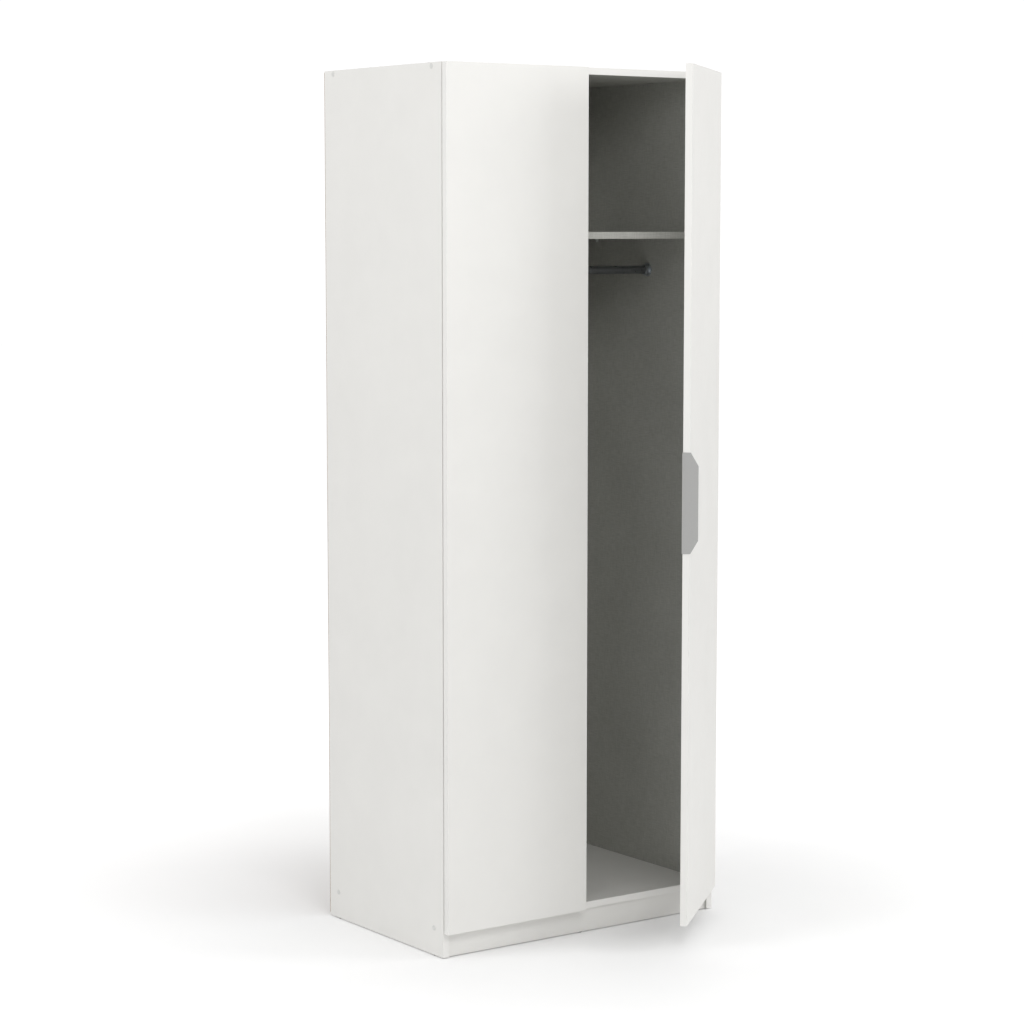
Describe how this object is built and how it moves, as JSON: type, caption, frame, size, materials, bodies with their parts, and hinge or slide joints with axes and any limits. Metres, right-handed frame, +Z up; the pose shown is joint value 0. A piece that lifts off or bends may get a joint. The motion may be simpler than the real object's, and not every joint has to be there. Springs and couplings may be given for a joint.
{
  "type": "wardrobe with doors",
  "caption": "Tall free-standing wardrobe in white board with hinged doors, hat shelf, hanging rail, concealed hinges and a bent plate handle; the right door stands ajar.",
  "frame": {"origin": "on the floor, under the middle of the front plinth, at the centre of the middle front glide's floor face", "axes": "+X to the wardrobe's right as it is faced, +Y to the back, +Z up; the doors face -Y"},
  "size_m": [0.7966, 0.7806, 2.03],
  "materials": {
    "white_melamine": "smooth satin white melamine on chipboard",
    "linen_melamine": "light grey melamine with a fine linen weave",
    "grey_handle": "silver-grey lacquered steel plate, satin",
    "dark_steel": "dull grey plated steel",
    "nickel_plate": "nickel-plated steel",
    "zinc_plate": "zinc-plated steel",
    "white_plastic": "moulded white plastic",
    "clear_plastic": "milky translucent plastic",
    "black_plastic": "moulded black plastic"
  },
  "bodies": {
    "carcass": {"top_panel": "white_melamine", "bottom_panel": "white_melamine", "plinth_front": "white_melamine", "plinth_back": "white_melamine", "hat_shelf": "linen_melamine", "back_joining_strip": "white_plastic", "glide_middle_front": "black_plastic", "glide_middle_back": "black_plastic", "hanging_rail": "dark_steel", "side_panel_left": "white_melamine", "back_sheet_left": "linen_melamine", "wall_bracket_left": "zinc_plate", "rail_bracket_left": "dark_steel", "shelf_support_left_front": "clear_plastic", "glide_left_front": "black_plastic", "corner_screw_left_front_lower": "white_plastic", "corner_screw_left_front_upper": "white_plastic", "shelf_support_left_back": "clear_plastic", "glide_left_back": "black_plastic", "corner_screw_left_back_lower": "white_plastic", "corner_screw_left_back_upper": "white_plastic", "hinge_plate_left_lower": "nickel_plate", "hinge_arm_left_lower": "nickel_plate", "hinge_plate_left_middle": "nickel_plate", "hinge_arm_left_middle": "nickel_plate", "hinge_plate_left_upper": "nickel_plate", "hinge_arm_left_upper": "nickel_plate", "side_panel_right": "white_melamine", "back_sheet_right": "linen_melamine", "wall_bracket_right": "zinc_plate", "rail_bracket_right": "dark_steel", "shelf_support_right_front": "clear_plastic", "glide_right_front": "black_plastic", "corner_screw_right_front_lower": "white_plastic", "corner_screw_right_front_upper": "white_plastic", "shelf_support_right_back": "clear_plastic", "glide_right_back": "black_plastic", "corner_screw_right_back_lower": "white_plastic", "corner_screw_right_back_upper": "white_plastic", "hinge_plate_right_lower": "nickel_plate", "hinge_arm_right_lower": "nickel_plate", "hinge_plate_right_middle": "nickel_plate", "hinge_arm_right_middle": "nickel_plate", "hinge_plate_right_upper": "nickel_plate", "hinge_arm_right_upper": "nickel_plate"},
    "door_left": {"door_left": "white_melamine", "hinge_cup_left_lower": "nickel_plate", "hinge_cup_left_middle": "nickel_plate", "hinge_cup_left_upper": "nickel_plate"},
    "links_left": {"hinge_link_left_lower": "nickel_plate", "hinge_link_left_middle": "nickel_plate", "hinge_link_left_upper": "nickel_plate"},
    "door_right": {"door_right": "white_melamine", "hinge_cup_right_lower": "nickel_plate", "hinge_cup_right_middle": "nickel_plate", "hinge_cup_right_upper": "nickel_plate", "handle": "grey_handle"},
    "links_right": {"hinge_link_right_lower": "nickel_plate", "hinge_link_right_middle": "nickel_plate", "hinge_link_right_upper": "nickel_plate"}
  },
  "joints": [
    {"name": "door_left_hinge", "type": "hinge", "parent": "carcass", "child": "door_left", "pos_m": [-0.391, -0.029, 1.044], "axis": [0, 0, -1], "range_deg": [0, 100]},
    {"name": "door_right_hinge", "type": "hinge", "parent": "carcass", "child": "door_right", "pos_m": [0.391, -0.029, 1.044], "axis": [0, 0, 1], "range_deg": [-40.7, 59.3]},
    {"name": "links_left_pivot", "type": "hinge", "parent": "carcass", "child": "links_left", "pos_m": [-0.3665, -0.0195, 1.044], "axis": [0, 0, -1], "range_deg": [-37.1, 0.1]},
    {"name": "links_right_pivot", "type": "hinge", "parent": "carcass", "child": "links_right", "pos_m": [0.3665, -0.0195, 1.044], "axis": [0, 0, 1], "range_deg": [-22.1, 15.2]}
  ],
  "couplings": [
    {"joint": "links_left_pivot", "follows": "door_left_hinge", "ratio": -0.37},
    {"joint": "links_right_pivot", "follows": "door_right_hinge", "ratio": -0.37}
  ]
}
